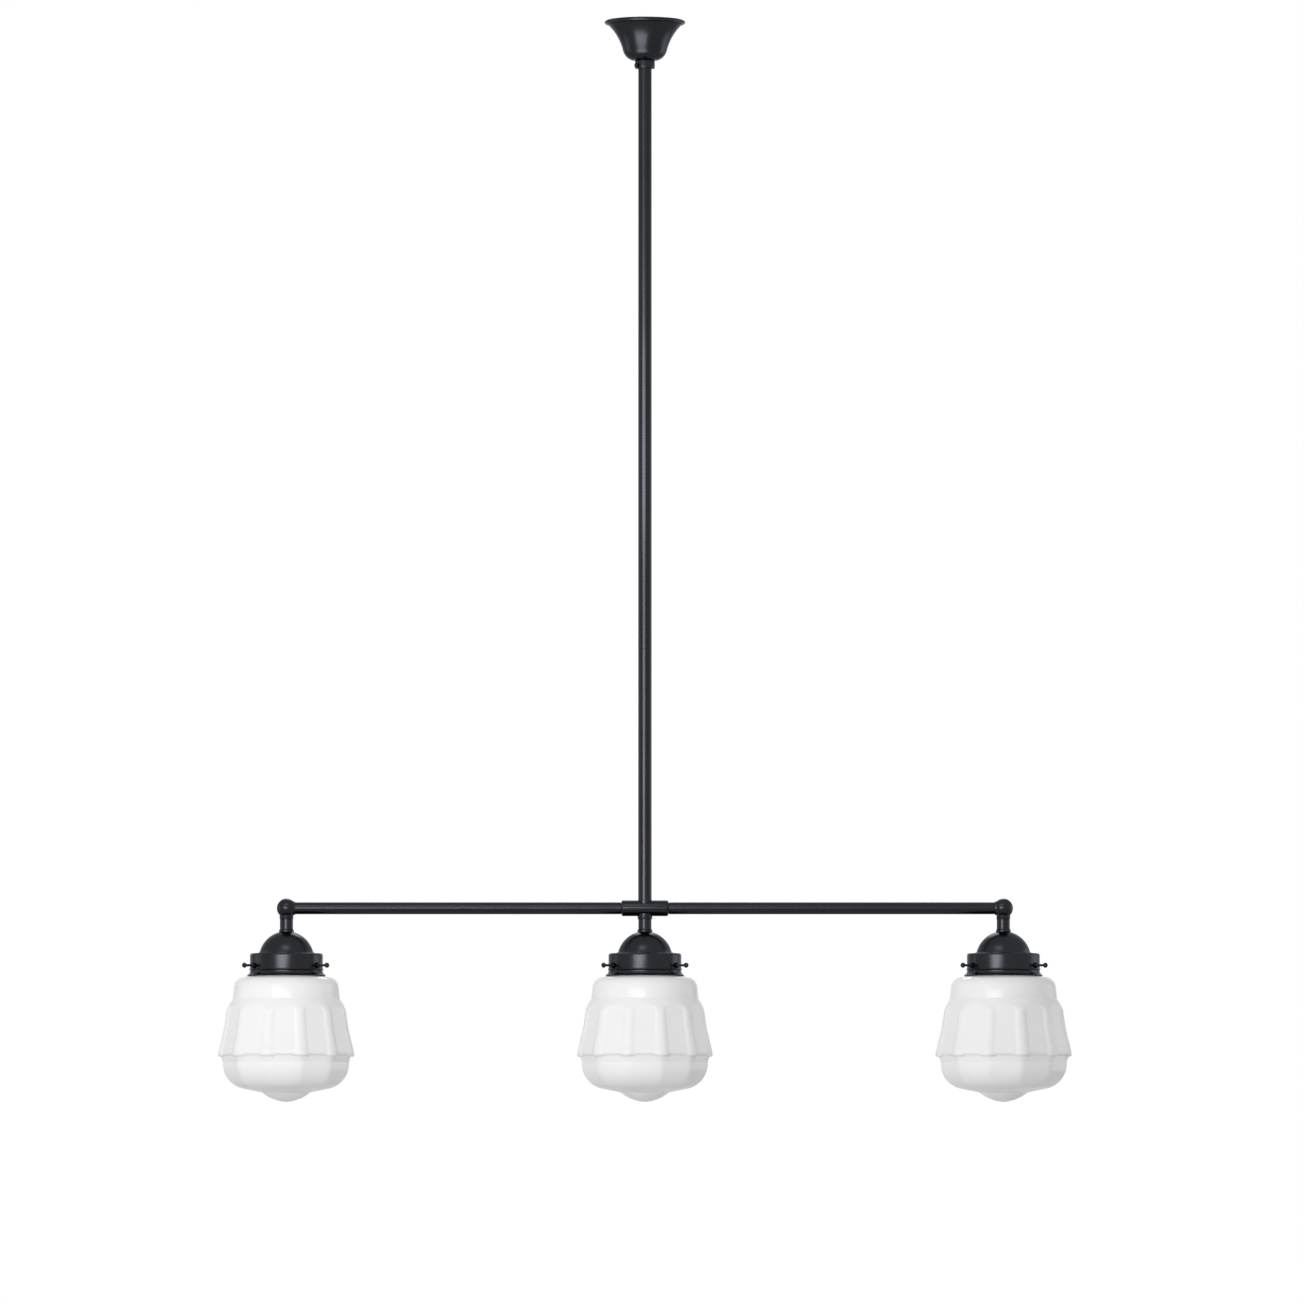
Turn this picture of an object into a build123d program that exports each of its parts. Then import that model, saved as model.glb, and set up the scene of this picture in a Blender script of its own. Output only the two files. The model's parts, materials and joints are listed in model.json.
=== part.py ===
from build123d import *
import os
from math import cos, radians, sin, sqrt, tan

# A linear island pendant. One rod hangs from a hook inside a ceiling rose and carries a
# horizontal bar. Under the bar hang three lamps: a dome over the lampholder, a shade
# gallery with three thumbscrews, and a twelve-panelled opal glass that is closed below.
# Millimetres. The origin is on the rod's axis in the ceiling plane, +Z is up, +X runs
# along the bar to the right, and the front faces -Y.

# ------------------------------------------------------------------ driving dimensions

# Layout
bar_depth = 1056.8  # ceiling to the bar's axis
lamp_spacing = 425.0  # middle lamp to each end lamp
lamp_drop = 28.4  # bar's axis to the flat crown of the lamp domes

# Clearances
socket_gap = 0.05  # radial, between a tube or thread and its socket
running_gap = 0.08  # radial, between pieces that slide on each other
free_gap = 0.3  # between pieces that pass or carry each other

# Ceiling plate, its hook and its earth screw
plate_radius = 34.0
plate_thickness = 2.0
ceiling_hole_spacing = 50.8
ceiling_hole_radius = 2.25
supply_hole_radius = 5.5
supply_hole_offset = 20.0
hook_wire_radius = 2.25
hook_bend_radius = 6.5  # to the middle of the wire
hook_depth = 21.5  # ceiling to the middle of the wire at the hook's seat
hook_nut_flats = 8.0
hook_nut_height = 3.4
earth_offset = 20.0
earth_shank_radius = 2.0
earth_head_radius = 3.6
earth_head_height = 2.4
earth_washer_radius = 4.6
earth_washer_thickness = 0.8

# Rod and the eye on its top
rod_radius = 7.95
rod_wall = 1.25
eye_inner_radius = 5.0
eye_wire_radius = 1.9
eye_body_height = 12.0
eye_bore_radius = 4.3
eye_top_thickness = 2.2
wire_hole_radius = 4.0
wire_hole_height = 5.4  # above the top of the rod
spigot_length = 10.0

# Ceiling rose, its collar and its side screw
rose_radius = 48.0
rose_height = 47.6
rose_wall = 1.0
rose_bead_radius = 2.3
rose_waist_radius = 26.2
rose_waist_depth = 36.0
rose_cove = 2.8  # how far the flared side bows in
rose_floor_radius = 15.5
collar_radius = 11.8
collar_height = 10.1
collar_bevel = 0.8
collar_screw_drop = 6.8  # below the collar's top
collar_screw_angle = 220.0  # front left, about +Z from +X
collar_screw_radius = 1.5
collar_head_radius = 2.6
collar_head_height = 2.6
collar_head_standoff = 0.8

# Tee, bars and elbows
tee_radius = 9.45
tee_length = 55.7
tee_bevel = 1.5
tee_wire_hole_radius = 5.8
tee_boss_radius = 8.75
bar_radius = 7.15
bar_wall = 1.2
bar_insertion = 20.0
elbow_radius = 11.5
elbow_boss_radius = 8.2
elbow_bar_stop = 6.2  # from the ball's centre to the end of the bar
elbow_passage_radius = 4.6
seat_depth = 13.0  # bar's axis to the face that each stem hangs from

# Stem and threaded nipple
stem_radius = 7.75
stem_foot_radius = 8.8
stem_foot_height = 2.4
stem_foot_round = 0.4
stem_flare_height = 2.2
nipple_radius = 5.0
nipple_bore_radius = 3.4
nipple_engagement = 5.2  # above the stem's top face

# Dome
dome_radius = 32.8
dome_height = 25.1
dome_crown_radius = 8.8
dome_wall = 1.0
dome_foot = 1.6
dome_nut_flats = 14.0
dome_nut_height = 3.0

# Shade gallery
gallery_radius = 43.2
gallery_wall = 1.0
gallery_corner = 2.6
gallery_skirt_depth = 21.6  # top to where the lip starts to flare
gallery_lip_radius = 46.6
gallery_lip_height = 4.5
gallery_lip_round = 3.0
gallery_bead_radius = 0.8
gallery_bead_depth = 18.9
screw_boss_radius = 3.25
screw_boss_length = 3.2

# Thumbscrews
screw_depth = 14.6  # gallery's top to the screws' axes
screw_radius = 1.5
screw_reach = 59.2  # lamp's axis to the outer face of the head
screw_head_radius = 3.05
screw_head_thickness = 4.6
screw_tip_length = 1.2
screw_count = 3
screw_first_angle = 90.0  # one screw behind, two in front

# Lampholder
cap_radius = 19.5
cap_top_radius = 9.0
cap_cone_height = 9.0
cap_wall = 1.8
cap_roof = 4.0
cap_thread_length = 8.0
cap_flange_radius = 21.6
cap_flange_height = 1.4
core_height = 9.3
core_contact_radius = 4.0
core_contact_height = 2.5
screw_shell_bore_radius = 13.25
screw_shell_wall = 0.5
screw_shell_length = 23.0  # starts level with the tip of the contact
lamp_shell_length = 28.0
shade_ring_radius = 24.0
shade_ring_height = 5.0
shade_ring_notch = 2.0
shade_ring_notches = 8

# Opal glass. Depths are measured down from the underside of the fitter lip.
panels = 12
glass_wall = 3.6
lip_radius = 40.5
lip_height = 7.0
lip_round = 1.5
neck_radius = 38.6
neck_depth = 12.8
neck_round = 4.0
shoulder_radius = 61.4
shoulder_depth = 17.4
shoulder_round = 13.0
band_radius = 63.6
band_depth = 41.9
flute_relief = 0.8  # how far the flats lie behind the ribs' sides
skirt_top_reach = 68.3
skirt_top_rib = 7.5
skirt_middle_depth = 76.9
skirt_middle_reach = 73.4
skirt_middle_rib = 8.5
skirt_hem_depth = 106.4
skirt_hem_reach = 80.6
skirt_hem_rib = 9.5
hem_height = 2.2
hem_inset = 2.4
tab_height = 3.9
tab_inset = 4.1
tab_rib = 6.3
hem_hollow_rise = 5.4  # hem to where the inside is widest
crown_start_radius = 64.2  # shoulder over the tops of the ribs
crown_middle_radius = 68.2
crown_middle_drop = 6.3
crown_end_radius = 72.0
crown_end_drop = 12.3
bowl_step = 4.0  # how far the bowl stands back under the hem
bowl_taper = 2.1  # and how much it narrows down to its waist
bowl_waist_drop = 10.0  # hem to the bowl's waist
bowl_round = 30.0
bowl_slope = 12.0  # degrees, of the bottom
inner_round = 10.0  # of the bends inside
knob_radius = 28.5
bowl_height = 35.8  # waist to the foot of the knob
knob_height = 11.1
knob_shoulder_radius = 15.0
knob_shoulder_lift = 3.2

# Connector and wiring
lead_radius = 1.5
lead_offset = 2.2  # end lamps' leads, left and right of the rod's axis
lead_front = 1.0  # and in front of it
lead_back = 1.2  # middle lamp's lead, behind it
lead_bend = 6.0  # in the tee and the elbows
lead_exit_bend = 4.0  # out of the eye
lead_tail_bend = 3.0  # up into the connector
lead_exit_rise = 0.8  # end lamps' leads, above the middle of the wire hole
lead_exit_drop = 1.6  # middle lamp's lead, below it
block_width = 21.0
block_depth = 9.0
block_height = 12.0
block_offset = 12.0
block_bottom_height = 12.0  # above the top of the rod
block_poles = 3
block_entry = 4.5
block_turret_radius = 2.4
block_turret_height = 2.4
block_screw_radius = 1.6
block_screw_sink = 0.8

# ------------------------------------------------------------------ derived places

hook_seat_z = hook_wire_radius - hook_depth
eye_z = hook_seat_z + free_gap - eye_inner_radius
eye_base_z = eye_z - eye_inner_radius - eye_wire_radius
rod_top_z = eye_base_z - eye_body_height
rod_bore_radius = rod_radius - rod_wall
wire_hole_z = rod_top_z + wire_hole_height

bar_z = -bar_depth
seat_z = bar_z - seat_depth
dome_top_z = bar_z - lamp_drop
dome_nut_z = dome_top_z - dome_wall
cap_top_z = dome_nut_z - dome_nut_height
cap_bore_radius = cap_radius - cap_wall
gallery_top_z = dome_top_z - dome_height
core_top_z = gallery_top_z + core_height
screw_z = gallery_top_z - screw_depth
glass_rest_z = screw_z + screw_radius + free_gap

lamp_places = {"left": -lamp_spacing, "centre": 0.0, "right": lamp_spacing}
screw_angles = [screw_first_angle + 360 / screw_count * turn for turn in range(screw_count)]
panel_angle = 360 / panels
half_panel = cos(radians(panel_angle / 2))

os.makedirs("parts", exist_ok=True)


def write(piece, name):
    """Label one placed copy of a repeated piece and write it."""
    piece.label = name
    export_step(piece, f"parts/{name}.step")


def radial_plane(angle, radius, height):
    """A plane whose normal points straight out from the Z axis at an angle about it."""
    outward = Vector(cos(radians(angle)), sin(radians(angle)), 0)
    return Plane(origin=outward * radius + Vector(0, 0, height), z_dir=outward)


def upright_plane(angle):
    """An upright plane through the Z axis, with its local x at an angle about it."""
    across = Vector(cos(radians(angle)), sin(radians(angle)), 0)
    return Plane(origin=(0, 0, 0), x_dir=across, z_dir=across.cross(Vector(0, 0, 1)))


# ------------------------------------------------------------------ ceiling plate and hook

with BuildPart() as ceiling_plate:
    with BuildSketch(Plane.XY.offset(-plate_thickness)):
        Circle(plate_radius)
        Circle(hook_wire_radius + socket_gap, mode=Mode.SUBTRACT)
        with Locations((-ceiling_hole_spacing / 2, 0), (ceiling_hole_spacing / 2, 0)):
            Circle(ceiling_hole_radius, mode=Mode.SUBTRACT)
        with Locations((0, supply_hole_offset)):
            Circle(supply_hole_radius, mode=Mode.SUBTRACT)
        with Locations((0, -earth_offset)):
            Circle(earth_shank_radius + socket_gap, mode=Mode.SUBTRACT)
    extrude(amount=plate_thickness)
ceiling_plate.part.label = "ceiling_plate"
export_step(ceiling_plate.part, "parts/ceiling_plate.step")

# The wire leaves the plate, steps to one side and curls under to a seat on the axis.
hook_step_z = 2 * hook_bend_radius - hook_depth
with BuildPart() as ceiling_hook:
    with BuildLine(Plane.YZ) as hook_wire:
        FilletPolyline(
            (0, 0),
            (0, hook_step_z),
            (hook_bend_radius, hook_step_z),
            (hook_bend_radius, -hook_depth),
            (-hook_bend_radius, -hook_depth),
            (-hook_bend_radius, hook_bend_radius - hook_depth),
            radius=[share * hook_bend_radius for share in (0.43, 0.49, 0.98, 0.98)],
        )
    with BuildSketch(Plane.XY):
        Circle(hook_wire_radius)
    sweep(path=hook_wire.line)
ceiling_hook.part.label = "ceiling_hook"
export_step(ceiling_hook.part, "parts/ceiling_hook.step")

with BuildPart() as hook_nut:
    with BuildSketch(Plane.XY.offset(-plate_thickness - hook_nut_height)):
        RegularPolygon(hook_nut_flats / 2, 6, major_radius=False)
        Circle(hook_wire_radius + socket_gap, mode=Mode.SUBTRACT)
    extrude(amount=hook_nut_height)
hook_nut.part.label = "hook_nut"
export_step(hook_nut.part, "parts/hook_nut.step")

with BuildPart() as earth_screw:
    with BuildSketch(Plane.XY.offset(-plate_thickness)):
        with Locations((0, -earth_offset)):
            Circle(earth_shank_radius)
    extrude(amount=plate_thickness)
    with BuildSketch(Plane.XY.offset(-plate_thickness)):
        with Locations((0, -earth_offset)):
            Circle(earth_washer_radius)
    extrude(amount=-earth_washer_thickness)
    with BuildSketch(Plane.XY.offset(-plate_thickness - earth_washer_thickness)):
        with Locations((0, -earth_offset)):
            Circle(earth_head_radius)
    extrude(amount=-earth_head_height)
    chamfer(earth_screw.faces().sort_by(Axis.Z)[0].edges(), earth_head_height / 4)
    with BuildSketch(earth_screw.faces().sort_by(Axis.Z)[0]):
        Rectangle(2 * earth_head_radius, earth_head_radius / 4)
    extrude(amount=-earth_head_height / 2, mode=Mode.SUBTRACT)
earth_screw.part.label = "earth_screw"
export_step(earth_screw.part, "parts/earth_screw.step")

# ------------------------------------------------------------------ rod and its eye

# The eye hangs on the hook. Its body is hollow, with a hole behind for the leads.
with BuildPart() as rod_loop:
    with Locations((0, 0, eye_z)):
        Torus(eye_inner_radius + eye_wire_radius, eye_wire_radius, rotation=(90, 0, 0))
    with BuildSketch(Plane.XZ):
        with BuildLine():
            Polyline(
                (0, eye_base_z),
                (rod_radius - eye_wire_radius, eye_base_z),
                (rod_radius, eye_base_z - eye_wire_radius),
                (rod_radius, rod_top_z),
                (rod_bore_radius - socket_gap, rod_top_z),
                (rod_bore_radius - socket_gap, rod_top_z - spigot_length),
                (0, rod_top_z - spigot_length),
                close=True,
            )
        make_face()
    revolve(axis=Axis.Z)
    with BuildSketch(Plane.XY.offset(rod_top_z - spigot_length)):
        Circle(eye_bore_radius)
    extrude(
        amount=spigot_length + eye_body_height - eye_top_thickness,
        mode=Mode.SUBTRACT,
    )
    with BuildSketch(Plane.XZ):
        with Locations((0, wire_hole_z)):
            Circle(wire_hole_radius)
    extrude(amount=-rod_radius - 1, mode=Mode.SUBTRACT)
rod_loop.part.label = "rod_loop"
export_step(rod_loop.part, "parts/rod_loop.step")

# The foot of the rod is coped to saddle the tee.
with BuildPart() as down_rod:
    with BuildSketch(Plane.XY.offset(bar_z)):
        Circle(rod_radius)
        Circle(rod_bore_radius, mode=Mode.SUBTRACT)
    extrude(amount=rod_top_z - bar_z)
    with BuildSketch(Plane.YZ):
        with Locations((0, bar_z)):
            Circle(tee_radius + socket_gap)
    extrude(amount=2 * rod_radius, both=True, mode=Mode.SUBTRACT)
down_rod.part.label = "down_rod"
export_step(down_rod.part, "parts/down_rod.step")

# ------------------------------------------------------------------ ceiling rose

# A spun bell: rolled rim, flared side, round shoulder and a flat floor round the rod.
rose_neck_radius = rod_radius + free_gap
with BuildPart() as ceiling_rose:
    with BuildSketch(Plane.XZ):
        with BuildLine():
            flare = SagittaArc(
                (rose_radius - rose_bead_radius, -1.5 * rose_bead_radius),
                (rose_waist_radius, -rose_waist_depth),
                -rose_cove,
            )
            TangentArc(flare @ 1, (rose_floor_radius, -rose_height), tangent=flare % 1)
            Line((rose_floor_radius, -rose_height), (rose_neck_radius, -rose_height))
            offset(amount=rose_wall, side=Side.RIGHT, closed=True)
        make_face()
    revolve(axis=Axis.Z)
    with BuildSketch(Plane.XZ):
        with Locations((rose_radius - rose_bead_radius, -rose_bead_radius)):
            Circle(rose_bead_radius)
    revolve(axis=Axis.Z)
ceiling_rose.part.label = "ceiling_rose"
export_step(ceiling_rose.part, "parts/ceiling_rose.step")

collar_top_z = -rose_height
collar_screw_z = collar_top_z - collar_screw_drop
with BuildPart() as rose_collar:
    with BuildSketch(Plane.XY.offset(collar_top_z - collar_height)):
        Circle(collar_radius)
    extrude(amount=collar_height)
    chamfer(rose_collar.edges().group_by(Axis.Z)[0], collar_bevel)
    with BuildSketch(Plane.XY.offset(collar_top_z - collar_height)):
        Circle(rod_radius + running_gap)
    extrude(amount=collar_height, mode=Mode.SUBTRACT)
    with BuildSketch(radial_plane(collar_screw_angle, 0, collar_screw_z)):
        Circle(collar_screw_radius + running_gap)
    extrude(amount=collar_radius, mode=Mode.SUBTRACT)
rose_collar.part.label = "rose_collar"
export_step(rose_collar.part, "parts/rose_collar.step")

collar_head_start = collar_radius + collar_head_standoff
with BuildPart() as collar_screw:
    with BuildSketch(radial_plane(collar_screw_angle, rod_radius + free_gap, collar_screw_z)):
        Circle(collar_screw_radius)
    extrude(amount=collar_head_start - rod_radius - free_gap)
    with BuildSketch(radial_plane(collar_screw_angle, collar_head_start, collar_screw_z)):
        Circle(collar_head_radius)
    extrude(amount=collar_head_height, taper=8)
    with BuildSketch(
        radial_plane(collar_screw_angle, collar_head_start + collar_head_height, collar_screw_z)
    ):
        Rectangle(2 * collar_head_radius, collar_head_radius / 4)
    extrude(amount=-collar_head_height / 2, mode=Mode.SUBTRACT)
collar_screw.part.label = "collar_screw"
export_step(collar_screw.part, "parts/collar_screw.step")

# ------------------------------------------------------------------ tee, bars and elbows

bar_socket_radius = bar_radius + socket_gap
thread_hole_radius = nipple_radius + socket_gap

with BuildPart() as tee_fitting:
    with BuildSketch(Plane.YZ.offset(-tee_length / 2)):
        with Locations((0, bar_z)):
            Circle(tee_radius)
    extrude(amount=tee_length)
    chamfer(tee_fitting.edges().filter_by(GeomType.CIRCLE), tee_bevel)
    with BuildSketch(Plane.XY.offset(seat_z)):
        Circle(tee_boss_radius)
    extrude(amount=seat_depth)
    with BuildSketch(Plane.YZ.offset(-tee_length / 2)):
        with Locations((0, bar_z)):
            Circle(bar_socket_radius)
    extrude(amount=tee_length, mode=Mode.SUBTRACT)
    with BuildSketch(Plane.XY.offset(seat_z)):
        Circle(thread_hole_radius)
    extrude(amount=seat_depth, mode=Mode.SUBTRACT)
    with BuildSketch(Plane.XY.offset(bar_z)):
        Circle(tee_wire_hole_radius)
    extrude(amount=tee_radius, mode=Mode.SUBTRACT)
tee_fitting.part.label = "tee_fitting"
export_step(tee_fitting.part, "parts/tee_fitting.step")

bar_start = tee_length / 2 - bar_insertion
bar_length = lamp_spacing - elbow_bar_stop - bar_start
with BuildPart() as bar:
    with BuildSketch(Plane.YZ.offset(bar_start)):
        with Locations((0, bar_z)):
            Circle(bar_radius)
            Circle(bar_radius - bar_wall, mode=Mode.SUBTRACT)
    extrude(amount=bar_length)
write(Rot(0, 0, 180) * bar.part, "bar_left")
write(bar.part, "bar_right")

# A ball with a socket for the bar, a flat boss below and wire passages that meet inside.
with BuildPart(Plane.XY.offset(bar_z)) as elbow:
    Sphere(elbow_radius)
    with BuildSketch(Plane.XY.offset(seat_z)):
        Circle(elbow_boss_radius)
    extrude(amount=seat_depth)
    with BuildSketch(Plane.YZ.offset(-elbow_radius)):
        with Locations((0, bar_z)):
            Circle(bar_socket_radius)
    extrude(amount=elbow_radius - elbow_bar_stop, mode=Mode.SUBTRACT)
    with BuildSketch(Plane.YZ.offset(-elbow_bar_stop)):
        with Locations((0, bar_z)):
            Circle(elbow_passage_radius)
    extrude(amount=elbow_bar_stop + elbow_passage_radius, mode=Mode.SUBTRACT)
    with BuildSketch(Plane.XY.offset(seat_z)):
        Circle(thread_hole_radius)
    extrude(amount=nipple_engagement + free_gap, mode=Mode.SUBTRACT)
    with BuildSketch(Plane.XY.offset(seat_z)):
        Circle(elbow_passage_radius)
    extrude(amount=seat_depth, mode=Mode.SUBTRACT)
write(Pos(-lamp_spacing, 0, 0) * Rot(0, 0, 180) * elbow.part, "elbow_left")
write(Pos(lamp_spacing, 0, 0) * elbow.part, "elbow_right")

# ------------------------------------------------------------------ lamp stem and dome

with BuildPart() as stem:
    with BuildSketch(Plane.XZ):
        with BuildLine():
            foot_top_z = dome_top_z + stem_foot_height
            Polyline(
                (thread_hole_radius, seat_z),
                (stem_radius, seat_z),
                (stem_radius, foot_top_z + stem_flare_height),
                (stem_foot_radius, foot_top_z),
                (stem_foot_radius, dome_top_z),
                (thread_hole_radius, dome_top_z),
                close=True,
            )
        make_face()
    revolve(axis=Axis.Z)
    foot_edges = stem.edges().filter_by(GeomType.CIRCLE).filter_by(
        lambda edge: abs(edge.radius - stem_foot_radius) < free_gap
    )
    fillet(foot_edges, stem_foot_round)

nipple_bottom_z = cap_top_z - cap_thread_length
with BuildPart() as nipple:
    with BuildSketch(Plane.XY.offset(nipple_bottom_z)):
        Circle(nipple_radius)
        Circle(nipple_bore_radius, mode=Mode.SUBTRACT)
    extrude(amount=seat_z + nipple_engagement - nipple_bottom_z)

# A spun dome with a flat crown under the stem and a small foot that stands on the gallery.
dome_centre_z = dome_top_z - sqrt(dome_radius**2 - dome_crown_radius**2)
dome_foot_z = gallery_top_z + dome_wall


def dome_radius_at(height):
    """The dome's outer radius at a height."""
    return sqrt(dome_radius**2 - (height - dome_centre_z) ** 2)


dome_middle_z = (dome_top_z + dome_foot_z) / 2
with BuildPart() as dome:
    with BuildSketch(Plane.XZ):
        with BuildLine():
            Line((thread_hole_radius, dome_top_z), (dome_crown_radius, dome_top_z))
            ThreePointArc(
                (dome_crown_radius, dome_top_z),
                (dome_radius_at(dome_middle_z), dome_middle_z),
                (dome_radius_at(dome_foot_z), dome_foot_z),
            )
            Line(
                (dome_radius_at(dome_foot_z), dome_foot_z),
                (dome_radius_at(dome_foot_z) + dome_foot, dome_foot_z),
            )
            offset(amount=dome_wall, side=Side.RIGHT, closed=True)
        make_face()
    revolve(axis=Axis.Z)

with BuildPart() as dome_nuts:
    with BuildSketch(Plane.XY.offset(cap_top_z)):
        with Locations([(lamp_x, 0) for lamp_x in lamp_places.values()]):
            RegularPolygon(dome_nut_flats / 2, 6, major_radius=False)
            Circle(thread_hole_radius, mode=Mode.SUBTRACT)
    extrude(amount=dome_nut_height)
dome_nuts.part.label = "dome_nuts"
export_step(dome_nuts.part, "parts/dome_nuts.step")

# ------------------------------------------------------------------ shade gallery

gallery_hole_radius = cap_radius + free_gap
lip_start_z = gallery_top_z - gallery_skirt_depth
with BuildPart() as gallery:
    with BuildSketch(Plane.XZ):
        with BuildLine():
            FilletPolyline(
                (gallery_hole_radius, gallery_top_z),
                (gallery_radius, gallery_top_z),
                (gallery_radius, lip_start_z),
                (gallery_lip_radius, lip_start_z - gallery_lip_height),
                radius=[gallery_corner, gallery_lip_round],
            )
            offset(amount=gallery_wall, side=Side.RIGHT, closed=True)
        make_face()
    revolve(axis=Axis.Z)
    with BuildSketch(Plane.XZ):
        with Locations((gallery_radius, gallery_top_z - gallery_bead_depth)):
            Circle(gallery_bead_radius)
    revolve(axis=Axis.Z)
    for angle in screw_angles:
        with BuildSketch(radial_plane(angle, gallery_radius - gallery_wall / 2, screw_z)):
            Circle(screw_boss_radius)
        extrude(amount=screw_boss_length + gallery_wall / 2)
    for angle in screw_angles:
        with BuildSketch(radial_plane(angle, gallery_radius - 2 * gallery_wall, screw_z)):
            Circle(screw_radius + running_gap)
        extrude(amount=screw_boss_length + 3 * gallery_wall, mode=Mode.SUBTRACT)

# A knobbed screw, made along +X from the lamp's axis. Its tip stops just clear of the
# glass neck, under the fitter lip.
screw_tip = neck_radius + free_gap
screw_head_start = screw_reach - screw_head_thickness
screw_dome_rise = screw_head_thickness / 2
screw_dome_radius = (screw_head_radius**2 + screw_dome_rise**2) / (2 * screw_dome_rise)
with BuildPart() as thumbscrew:
    with BuildSketch(Plane.XZ):
        with BuildLine():
            Polyline(
                (screw_tip, 0),
                (screw_tip, screw_radius / 2),
                (screw_tip + screw_tip_length, screw_radius),
                (screw_head_start, screw_radius),
                (screw_head_start, screw_head_radius - screw_head_thickness / 4),
                (screw_head_start + screw_head_thickness / 4, screw_head_radius),
                (screw_reach - screw_dome_rise, screw_head_radius),
            )
            RadiusArc(
                (screw_reach - screw_dome_rise, screw_head_radius),
                (screw_reach, 0),
                screw_dome_radius,
            )
            Line((screw_reach, 0), (screw_tip, 0))
        make_face()
    revolve(axis=Axis.X)

# ------------------------------------------------------------------ lampholder

with BuildPart() as lamp_cap:
    with BuildSketch(Plane.XZ):
        with BuildLine():
            Polyline(
                (thread_hole_radius, cap_top_z),
                (cap_top_radius, cap_top_z),
                (cap_radius, cap_top_z - cap_cone_height),
                (cap_radius, gallery_top_z + cap_flange_height),
                (cap_flange_radius, gallery_top_z + cap_flange_height),
                (cap_flange_radius, gallery_top_z),
                (cap_bore_radius, gallery_top_z),
                (cap_bore_radius, cap_top_z - cap_cone_height),
                (cap_top_radius, cap_top_z - cap_roof),
                (thread_hole_radius, cap_top_z - cap_roof),
                close=True,
            )
        make_face()
    revolve(axis=Axis.Z)

core_radius = cap_bore_radius - free_gap
with BuildPart() as lamp_core:
    with BuildSketch(Plane.XY.offset(gallery_top_z)):
        Circle(core_radius)
    extrude(amount=core_height)
    with BuildSketch(Plane.XY.offset(gallery_top_z - core_contact_height)):
        Circle(core_contact_radius)
    extrude(amount=core_contact_height)
    chamfer(lamp_core.edges().group_by(Axis.Z)[0], core_contact_height / 3)

screw_shell_radius = screw_shell_bore_radius + screw_shell_wall
screw_shell_mouth_z = gallery_top_z - core_contact_height - screw_shell_length
with BuildPart() as screw_shell:
    with BuildSketch(Plane.XY.offset(screw_shell_mouth_z)):
        Circle(screw_shell_radius)
        Circle(screw_shell_bore_radius, mode=Mode.SUBTRACT)
    extrude(amount=screw_shell_length)

lamp_mouth_z = gallery_top_z - lamp_shell_length
with BuildPart() as lamp_shell:
    with BuildSketch(Plane.XY.offset(lamp_mouth_z)):
        Circle(cap_radius)
        Circle(screw_shell_radius + running_gap, mode=Mode.SUBTRACT)
    extrude(amount=lamp_shell_length)
    chamfer(lamp_shell.edges().group_by(Axis.Z)[0], cap_wall / 2)

with BuildPart() as shade_ring:
    with BuildSketch(Plane.XY.offset(gallery_top_z - gallery_wall - shade_ring_height)):
        Circle(shade_ring_radius)
        Circle(cap_radius + socket_gap, mode=Mode.SUBTRACT)
        with PolarLocations(shade_ring_radius, shade_ring_notches):
            Circle(shade_ring_notch, mode=Mode.SUBTRACT)
    extrude(amount=shade_ring_height)

# ------------------------------------------------------------------ opal glass


def glass_z(depth):
    """Height of a point of the glass at a depth under its fitter lip."""
    return glass_rest_z - depth


def rib_centre(reach, rib_radius):
    """Distance from the axis to the centre of a rib whose sides reach a given half width."""
    return (reach - rib_radius) / half_panel


# The bowl is cut from six crossed bars of one section, so that it gets twelve flat panels
# whose edges run in towards the knob.
bowl_waist_depth = skirt_hem_depth + bowl_waist_drop
knob_depth = bowl_waist_depth + bowl_height
knob_tip_depth = knob_depth + knob_height
bowl_top_reach = skirt_hem_reach - bowl_step
bowl_reach = bowl_top_reach - bowl_taper
bowl_corner_z = glass_z(knob_depth) + (bowl_reach - knob_radius) * tan(radians(bowl_slope))
bowl_side_height = glass_z(bowl_waist_depth) - bowl_corner_z
# The bowl's rounding is no larger than its side has room for.
bowl_side_room = (bowl_side_height - hem_height / 2) / tan(radians((90 - bowl_slope) / 2))
bowl_corner_round = min(bowl_round, bowl_side_room)
with BuildPart() as glass_bowl:
    for turn in range(panels // 2):
        with BuildSketch(upright_plane(turn * panel_angle).offset(-2 * bowl_top_reach)):
            with BuildLine() as bowl_side:
                FilletPolyline(
                    (bowl_top_reach, glass_z(skirt_hem_depth)),
                    (bowl_top_reach, glass_z(skirt_hem_depth + hem_height)),
                    (bowl_reach, glass_z(bowl_waist_depth)),
                    (bowl_reach, bowl_corner_z),
                    (knob_radius, glass_z(knob_depth)),
                    radius=[hem_height / 2, hem_height, bowl_corner_round],
                )
                mirror(about=Plane.YZ)
                Line((knob_radius, glass_z(knob_depth)), (-knob_radius, glass_z(knob_depth)))
                Line(
                    (bowl_top_reach, glass_z(skirt_hem_depth)),
                    (-bowl_top_reach, glass_z(skirt_hem_depth)),
                )
            make_face()
        extrude(amount=4 * bowl_top_reach, mode=Mode.ADD if turn == 0 else Mode.INTERSECT)

# One rounded tab, at the foot of the rib on the first panel edge.
with BuildPart() as glass_tab:
    with BuildSketch(Plane.XY.offset(glass_z(skirt_hem_depth))):
        with PolarLocations(rib_centre(skirt_hem_reach, skirt_hem_rib), 1, panel_angle / 2):
            Circle(skirt_hem_rib)
    with BuildSketch(Plane.XY.offset(glass_z(skirt_hem_depth + tab_height))):
        with PolarLocations(
            rib_centre(skirt_hem_reach - tab_inset, tab_rib), 1, panel_angle / 2
        ):
            Circle(tab_rib)
    loft()

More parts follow.
